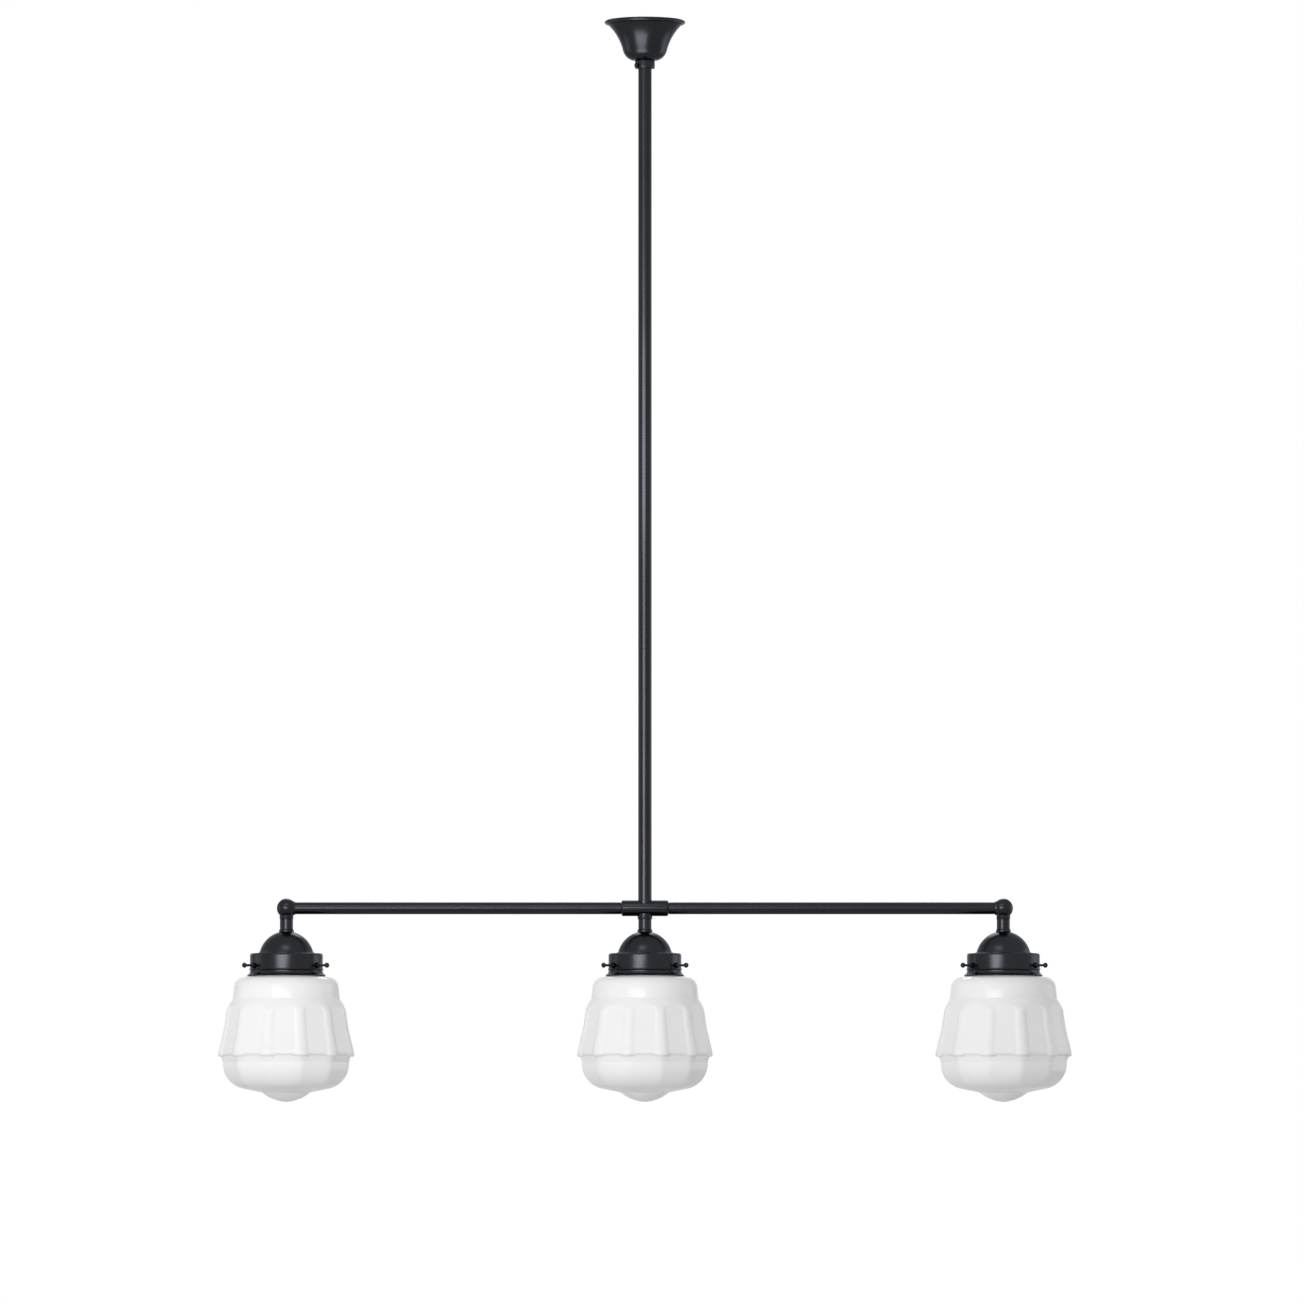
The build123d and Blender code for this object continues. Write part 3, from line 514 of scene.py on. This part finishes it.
sleeve = rounded(
    [(7.2, -27.2), (7.75, -27.85), (7.95, -27.85), (9.45, -26.35), (9.45, 26.35), (7.95, 27.85),
     (7.75, 27.85), (7.2, 27.2)],
    [0, 0.1, 0.15, 0.5, 0.5, 0.15, 0.1, 0], 4, True,
)
boss = rounded(
    [(NIPPLE_BORE, -6.5), (8.75, -6.5), (8.75, BOSS_FOOT), (NIPPLE_BORE, BOSS_FOOT)],
    [0, 0, 0.5, 0], 4, True,
)
tee = solid("tee_sleeve", [
    (*revolve(sleeve, 96), along_x(0, 0, BAR_Z)),
    (*revolve(boss, 96), upright(0, 0, BAR_Z)),
])
dress(tee, "black_metal", "suspension", "tee_fitting")

# A narrow shadow gap runs round each bar where it leaves the sleeve.
bar_profile = [(BAR_BORE, BAR_START), (BAR_RADIUS, BAR_START), (BAR_RADIUS, 27.95)]
bar_profile += [(BAR_GAP_RADIUS, 28.15), (BAR_GAP_RADIUS, 28.65), (BAR_RADIUS, 28.85)]
bar_profile += [(BAR_RADIUS, 140.0), (BAR_RADIUS, 280.0), (BAR_RADIUS, BAR_END)]
bar_profile += [(BAR_BORE, BAR_END)]
verts, faces = revolve(bar_profile, 96)
to_right = along_x(0, 0, BAR_Z)
to_left = to_right @ Matrix.Rotation(math.pi, 4, "X")
for side, placement in (("right", to_right), ("left", to_left)):
    bar = solid("bar_tube_" + side, [(verts, faces, placement)])
    dress(bar, "black_metal", "suspension", "bar_" + side)

# Each ball is closed at the top, and its neck stands on the stem.
elbow_profile = [(0, ELBOW_RADIUS)] + arc((0, 0), ELBOW_RADIUS, 89, -44, 44)
elbow_profile += rounded([(8.2, -8.3), (8.2, BOSS_FOOT), (NIPPLE_BORE, BOSS_FOOT)], [0, 0.5, 0], 4)
elbow_profile += [(NIPPLE_BORE, -8.0), (0, -7.9)]
socket_ring = rounded([(7.2, -1.6), (7.2, 1.1), (8.0, 1.1), (8.35, -1.6)], [0, 0, 0.3, 0], 3, True)
for side, sign in (("left", -1), ("right", 1)):
    placement = along_x(sign * 416.0, 0, BAR_Z)
    if sign > 0:
        placement = placement @ Matrix.Rotation(math.pi, 4, "Y")
    elbow = solid("ball_elbow_" + side, [
        (*revolve(elbow_profile, 96, False), upright(LAMPS[side], 0, BAR_Z)),
        (*revolve(socket_ring, 64), placement),
    ])
    dress(elbow, "black_metal", "suspension", "elbow_" + side)

# ------------------------------------------------------------------ lamp heads

stem_profile = [(NIPPLE_BORE, SEAT_Z), (7.5, SEAT_Z), (7.75, SEAT_Z - 0.25), (7.75, -1080.2)]
stem_profile += arc_through((7.75, -1080.5), (7.95, -1081.7), (8.6, -1082.7), 6)
stem_profile += rounded(
    [(8.6, -1082.75), (8.8, -1082.95), (8.8, DOME_TOP), (NIPPLE_BORE, DOME_TOP)],
    [0, 0.15, 0.4, 0], 4,
)
stem = solid("stem_centre_turned", [(*revolve(stem_profile, 96), upright())])

# The dome is part of a sphere that starts at the stem's foot and ends on the gallery.
DOME_RADIUS, DOME_INNER, STEM_FOOT = 32.8, 31.8, 8.8
dome_centre = DOME_TOP - math.sqrt(DOME_RADIUS**2 - STEM_FOOT**2)
dome_start = math.degrees(math.atan2(DOME_TOP - dome_centre, STEM_FOOT))
dome_end = math.degrees(math.asin((GALLERY_TOP + 1.25 - dome_centre) / DOME_RADIUS))
dome_profile = [(NIPPLE_BORE, DOME_TOP), (8.4, DOME_TOP)]
dome_profile += arc((0, dome_centre), DOME_RADIUS, dome_start, dome_end, 30)
foot_radius = dome_profile[-1][0]
dome_profile += rounded(
    [(foot_radius + 0.05, GALLERY_TOP + 1.0), (foot_radius + 1.55, GALLERY_TOP + 1.0),
     (foot_radius + 1.55, GALLERY_TOP), (foot_radius - 0.9, GALLERY_TOP)],
    [0, 0.45, 0.3, 0], 4,
)
dome_profile += arc((0, dome_centre), DOME_INNER, dome_end - 1.5, dome_start + 1.0, 20)
dome_profile += [(NIPPLE_BORE, DOME_TOP - 1.0)]
dome = solid("dome_centre_spun", [(*revolve(dome_profile, 144), upright())])

# The gallery's wall has a bead above its flared lip, and three bosses for the screws.
gallery_profile = rounded(
    [(19.8, GALLERY_TOP), (43.2, GALLERY_TOP), (43.2, -1128.3)], [0, 2.6, 0], 8
)
gallery_profile += arc((43.15, -1129.25), 0.95, 80, -75, 8)
gallery_profile += [(42.95, -1130.35), (42.9, -1130.75), (43.2, -1131.15), (43.25, -1131.8)]
gallery_profile += arc_through((43.3, -1132.4), (44.3, -1134.3), (46.2, -1135.7), 6)
gallery_profile += arc((46.05, -1136.35), 0.65, 70, -150, 9)
gallery_profile += arc_through((44.9, -1136.1), (43.0, -1134.2), (42.2, -1131.8), 5)
gallery_profile += rounded([(42.2, -1131.0), (42.2, -1111.3), (19.8, -1111.3)], [0, 1.6, 0], 6)
boss_profile = rounded(
    [(1.58, 41.9), (3.25, 41.9), (3.25, 46.4), (1.58, 46.4)], [0, 0, 0.4, 0.25], 4, True
)
gallery_parts = [(*revolve(gallery_profile, 144), upright())]
for angle in SCREW_ANGLES.values():
    gallery_parts.append((*revolve(boss_profile, 48), radial(angle, 0, SCREW_Z)))
gallery = solid("gallery_centre_spun", gallery_parts)

thumb_verts, thumb_faces = screw_part(38.9, SCREW_SHANK, 54.6, 59.2, 3.05, 2.3, 1.15, 20)

# ------------------------------------------------------------------ opal glass

# The shade has twelve panels. The columns of its mesh are close together at the ribs.
PANELS = 12
PANEL_DEGREES = 30.0
HALF_DEGREES = 15.0
HALF_PANEL = math.radians(HALF_DEGREES)
HALF_STEPS = [0, 2.4, 4.8, 6.4, 7.4, 8.1, 8.7, 9.2, 9.8, 10.6, 11.6, 12.8, 14.0]
COLUMNS = []
for panel in range(PANELS):
    centre = panel * PANEL_DEGREES
    COLUMNS += [centre - h for h in reversed(HALF_STEPS[1:])]
    COLUMNS += [centre + h for h in HALF_STEPS]
    COLUMNS += [centre + HALF_DEGREES]


def smooth_max(a, b, k):
    """The larger of two values, blended where they are within k of each other."""
    h = max(0.0, min(1.0, 0.5 + 0.5 * (a - b) / k))
    return b + (a - b) * h + k * h * (1 - h)


def smooth_step(low, high, value):
    """Rises softly from zero at low to one at high."""
    t = max(0.0, min(1.0, (value - low) / (high - low)))
    return t * t * (3 - 2 * t)


def between(table, z):
    """Looks a value up in a table of rows that start with a falling height."""
    if z >= table[0][0]:
        return table[0][1:]
    for upper, lower in zip(table, table[1:]):
        if z >= lower[0]:
            share = (upper[0] - z) / (upper[0] - lower[0])
            return tuple(u + (w - u) * share for u, w in zip(upper[1:], lower[1:]))
    return table[-1][1:]


NO_LIMIT = 1e3
# Rows of height, reach at the ribs and rib radius.
SKIRT_TOP, SKIRT_FOOT = -1165.0, -1229.5
SKIRT = [(SKIRT_TOP, 68.3, 11.0), (-1200.0, 73.4, 12.5), (SKIRT_FOOT, 80.6, 14.5)]
PANEL_DIP = 0.8
RIB_BLEND, CROWN_BLEND = 0.16, 0.5
BOWL_CORNER = 16.0
HEM_Z, HEM_DROP = -1228.7, 1.2
WAIST_TOP, WAIST_FOOT = -1232.2, -1239.0
TIP_Z, INNER_TIP_Z = -1286.4, -1282.8
CROWN = arc_through((64.2, -1165.0), (68.2, -1171.3), (72.0, -1177.3), 24)


def crown_radius(z):
    """The radius of the crown that cuts the skirt's top, or no limit below it."""
    if z < CROWN[-1][1]:
        return NO_LIMIT
    for (r0, z0), (r1, z1) in zip(CROWN, CROWN[1:]):
        if z >= z1:
            return r0 + (r1 - r0) * (z0 - z) / (z0 - z1)
    return CROWN[-1][0]


def skirt_radius(z, phi):
    """The skirt's outside at a height and an angle from a panel's middle, in radians."""
    reach, rib = between(SKIRT, z)
    flat = (reach - PANEL_DIP) / math.cos(phi)
    centre = (reach - rib) / math.cos(HALF_PANEL)
    delta = HALF_PANEL - abs(phi)
    inside = rib * rib - (centre * math.sin(delta)) ** 2
    radius = flat
    if inside > 0:
        radius = smooth_max(flat, centre * math.cos(delta) + math.sqrt(inside), RIB_BLEND)
    return -smooth_max(-radius, -crown_radius(z), CROWN_BLEND)


def soft_polygon(apothem, corner, phi):
    """A twelve-sided outline with rounded corners."""
    phi = abs(phi)
    if math.tan(phi) * apothem <= (apothem - corner) * math.tan(HALF_PANEL):
        return apothem / math.cos(phi)
    centre = (apothem - corner) / math.cos(HALF_PANEL)
    delta = HALF_PANEL - phi
    inside = corner * corner - (centre * math.sin(delta)) ** 2
    return centre * math.cos(delta) + math.sqrt(max(0.0, inside))


# Each column of the glass is one list of (radius, height) with the same number of points.
upper = [(35.0, -1117.0), (35.9, -1116.1)]
upper += rounded([(37.0, -1116.1), (40.5, -1116.1), (40.5, GLASS_REST), (38.6, GLASS_REST),
                  (38.6, -1135.9), (61.4, -1140.5), (63.6, -1163.3)],
                 [0, 1.5, 1.5, 0.5, 4.0, 13.0, 0], 10)
upper += [(63.6, -1163.7), (63.48, -1164.0), (63.52, -1164.4), (63.8, -1164.7)]
SKIRT_STEPS = [
    0, 0.6, 1.3, 2.1, 3.0, 4.0, 5.2, 6.6, 8.2, 10.0, 12.2, 14.8, 17.6,
    20.5, 24, 28, 32, 35, 38, 42, 46, 50, 54, 57, 59.5, 61.2,
]
skirt_heights = [SKIRT_TOP - d for d in SKIRT_STEPS]
bowl_side = rounded([(76.4, WAIST_TOP), (74.5, -1239.5), (74.5, -1265.52), (28.5, -1275.3)],
                    [0, 3.0, 30.0, 0], 26)
lower = []
for (r0, z0), (r1, z1) in zip(bowl_side, bowl_side[1:]):
    pieces = max(1, int(math.hypot(r1 - r0, z1 - z0) / 3.0))
    for i in range(pieces):
        lower.append((r0 + (r1 - r0) * i / pieces, z0 + (z1 - z0) * i / pieces))
knob = [(28.5, -1275.3)] + arc_through((27.0, -1276.4), (14.8, -1283.2), (0.001, TIP_Z), 14)
inner = rounded(
    [(0, INNER_TIP_Z), (15.0, -1279.4), (28.5, -1271.7), (70.9, -1263.7), (70.9, -1239.5),
     (75.2, -1224.1), (69.0, -1200.0), (64.2, -1175.0), (60.0, -1168.6), (57.8, -1144.1),
     (35.0, -1139.5), (35.0, -1117.0)],
    [0, 8.0, 15.0, 26.4, 4.0, 4.0, 10.0, 10.0, 10.0, 6.4, 4.0, 0], 7,
)
# How the hem rolls under, in rows of inset from its edge and fall below it.
HEM = [(0.1, 0.3), (0.42, 1.0), (0.8, 1.8), (1.2, 2.4), (1.75, 2.8), (2.4, 3.0), (3.1, 3.02)]


def glass_column(degrees):
    """The outside of the glass at one angle, from the lip down to the tip."""
    phi = math.radians((degrees + HALF_DEGREES) % PANEL_DEGREES - HALF_DEGREES)
    drop = HEM_DROP * smooth_step(7.0, 12.0, abs(math.degrees(phi)))
    points = list(upper)
    points += [(skirt_radius(z, phi), z) for z in skirt_heights]
    edge_z = HEM_Z - drop
    edge = skirt_radius(max(edge_z, SKIRT_FOOT), phi) - 0.05
    for inset, fall in HEM:
        points.append((edge - inset, edge_z - fall))
    for r, z in lower:
        shape = soft_polygon(r, min(BOWL_CORNER, r * 0.6), phi)
        share = smooth_step(30.0, 44.0, r)
        tuck = drop * smooth_step(WAIST_FOOT, WAIST_TOP, z)
        points.append((r + (shape - r) * share, z - tuck * 0.6))
    points += knob
    return points


# Outside and inside share one run of rows per column. They meet at the lip and at two tips.
columns = [glass_column(angle) for angle in COLUMNS]
glass_verts, glass_faces = [], []
for angle, column in zip(COLUMNS, columns):
    a = math.radians(angle)
    for r, z in column[:-1] + inner[1:]:
        glass_verts.append((r * math.cos(a), r * math.sin(a), z))
outer_rows = len(columns[0]) - 1
last_row = outer_rows + len(inner) - 2
tip, inner_tip = len(glass_verts), len(glass_verts) + 1
glass_verts += [(0, 0, TIP_Z), (0, 0, INNER_TIP_Z)]
for index in range(len(COLUMNS)):
    a, b = index * (last_row + 1), (index + 1) % len(COLUMNS) * (last_row + 1)
    for row in range(outer_rows - 1):
        glass_faces.append([a + row, a + row + 1, b + row + 1, b + row])
    glass_faces.append([a + outer_rows - 1, tip, b + outer_rows - 1])
    glass_faces.append([b + outer_rows, inner_tip, a + outer_rows])
    for row in range(outer_rows, last_row):
        glass_faces.append([a + row, a + row + 1, b + row + 1, b + row])
    glass_faces.append([a + last_row, a, b, b + last_row])
glass = solid("glass_centre_pressed", [(glass_verts, glass_faces, upright())], 50)

# ------------------------------------------------------------------ three lamps

shapes = {"stem": stem, "dome": dome, "gallery": gallery, "glass": glass}
for side, x in LAMPS.items():
    for kind, shape in shapes.items():
        material = "opal_glass" if kind == "glass" else "black_metal"
        piece = shape if side == "centre" else copy_at(shape, f"{kind}_{side}_shape", x)
        dress(piece, material, "suspension", f"{kind}_{side}")
    for letter, angle in SCREW_ANGLES.items():
        node = f"thumbscrew_{side}_{letter}"
        screw = solid(node + "_knob", [(thumb_verts, thumb_faces, radial(angle, x, SCREW_Z))])
        dress(screw, "black_metal", node + "_body", node)

# ------------------------------------------------------------------ studio

FLOOR_HALF, FLOOR_Z = 9, -2.35
FLOOR_WHITE = 0.65
WORLD_LIGHT = 0.37


def seen_rays(tree):
    """One for camera, glossy and transmission rays, and zero for all others."""
    path = tree.nodes.new("ShaderNodeLightPath")
    result = path.outputs["Is Camera Ray"]
    for ray in ("Is Glossy Ray", "Is Transmission Ray"):
        larger = tree.nodes.new("ShaderNodeMath")
        larger.operation = "MAXIMUM"
        tree.links.new(result, larger.inputs[0])
        tree.links.new(path.outputs[ray], larger.inputs[1])
        result = larger.outputs[0]
    return result


floor_corners = [(x * FLOOR_HALF, y * FLOOR_HALF, 0) for x, y in ((-1, -1), (1, -1), (1, 1), (-1, 1))]
floor_mesh = bpy.data.meshes.new("studio_floor")
floor_mesh.from_pydata(floor_corners, [], [(0, 1, 2, 3)])
floor = bpy.data.objects.new("studio_floor", floor_mesh)
floor.location = (0, 0, FLOOR_Z)
bpy.context.scene.collection.objects.link(floor)

# The floor is pale, keeps shadows, and is open from below.
floor_nodes = Nodes("studio_floor")
floor_nodes.link(
    floor_nodes.ramp(
        floor_nodes.noise(2.0), [(0.3, (0.61, 0.61, 0.61)), (0.7, (0.63, 0.63, 0.63))]
    ),
    "Color", floor_nodes.shader, "Base Color",
)
floor_nodes.set(Roughness=0.8)
share = floor_nodes.add("ShaderNodeMath", operation="MULTIPLY")
share.inputs[1].default_value = FLOOR_WHITE
floor_nodes.tree.links.new(seen_rays(floor_nodes.tree), share.inputs[0])
glow = floor_nodes.add("ShaderNodeEmission")
pale = floor_nodes.add("ShaderNodeMixShader")
floor_nodes.link(share, 0, pale, "Fac")
floor_nodes.link(floor_nodes.shader, "BSDF", pale, 1)
floor_nodes.link(glow, "Emission", pale, 2)
sides = floor_nodes.add("ShaderNodeNewGeometry")
clear = floor_nodes.add("ShaderNodeBsdfTransparent")
one_way = floor_nodes.add("ShaderNodeMixShader")
floor_nodes.link(sides, "Backfacing", one_way, "Fac")
floor_nodes.link(pale, 0, one_way, 1)
floor_nodes.link(clear, 0, one_way, 2)
floor_nodes.link(one_way, 0, floor_nodes.out, "Surface")
floor_mesh.materials.append(floor_nodes.material)


def area_light(name, place, target, width, height, power):
    """A rectangular lamp that faces a target. Places and sizes are in metres."""
    data = bpy.data.lights.new(name, "AREA")
    data.shape = "RECTANGLE"
    data.size, data.size_y = width, height
    data.energy = power
    lamp = bpy.data.objects.new(name, data)
    lamp.location = place
    lamp.rotation_mode = "QUATERNION"
    lamp.rotation_quaternion = (Vector(target) - Vector(place)).to_track_quat("-Z", "Y")
    bpy.context.scene.collection.objects.link(lamp)


def around(azimuth, distance, z):
    """A place in metres at an azimuth from the front, positive to the right."""
    a = math.radians(azimuth)
    return (distance * math.sin(a), -distance * math.cos(a), z)


area_light("key_left", around(-19, 3.2, -1.08), (0, 0, -1.1), 1.1, 0.42, 14)
area_light("bar_strip", around(-14, 3.3, -0.66), (0, 0, -1.0), 1.7, 0.5, 29)
area_light("rod_strip", around(-33, 3.2, -0.45), (0, 0, -0.6), 0.34, 1.5, 12)
area_light("top_front", (-0.5, -1.9, 0.9), (0, 0, -1.1), 1.2, 0.8, 9)
area_light("rose_left", around(-20, 0.5, -0.45), (0, 0, -0.03), 0.5, 0.34, 3.0)
area_light("fill_right", around(112, 3.6, -1.0), (0, 0, -1.05), 2.0, 2.2, 24)
area_light("fill_left", around(-100, 3.6, -1.0), (0, 0, -1.05), 1.6, 2.2, 12)
area_light("back_top", around(180, 2.6, 1.1), (0, 0, -1.05), 1.6, 1.2, 26)

# The world lights the object softly, and is plain white where it is seen or mirrored.
world = bpy.data.worlds.new("studio")
bpy.context.scene.world = world
world.use_nodes = True
tree = world.node_tree
tree.nodes.clear()
out = tree.nodes.new("ShaderNodeOutputWorld")
mix = tree.nodes.new("ShaderNodeMixShader")
tree.links.new(seen_rays(tree), mix.inputs["Fac"])
for place, strength in ((1, WORLD_LIGHT), (2, 1.0)):
    white = tree.nodes.new("ShaderNodeBackground")
    white.inputs["Color"].default_value = (1, 1, 1, 1)
    white.inputs["Strength"].default_value = strength
    tree.links.new(white.outputs[0], mix.inputs[place])
tree.links.new(mix.outputs[0], out.inputs["Surface"])

camera_data = bpy.data.cameras.new("camera")
camera_data.lens = 312.0
camera_data.sensor_width = 36.0
camera = bpy.data.objects.new("camera", camera_data)
AIM = Vector((0.0084, 0, -0.7526))
CAMERA_DISTANCE, CAMERA_Z = 13.4, -1.4
camera.location = (AIM.x, -CAMERA_DISTANCE, CAMERA_Z)
camera.rotation_mode = "QUATERNION"
camera.rotation_quaternion = (AIM - camera.location).to_track_quat("-Z", "Y")
camera_data.clip_start = 0.1
camera_data.clip_end = 200.0
bpy.context.scene.collection.objects.link(camera)
bpy.context.scene.camera = camera
bpy.context.scene.view_settings.view_transform = "Standard"
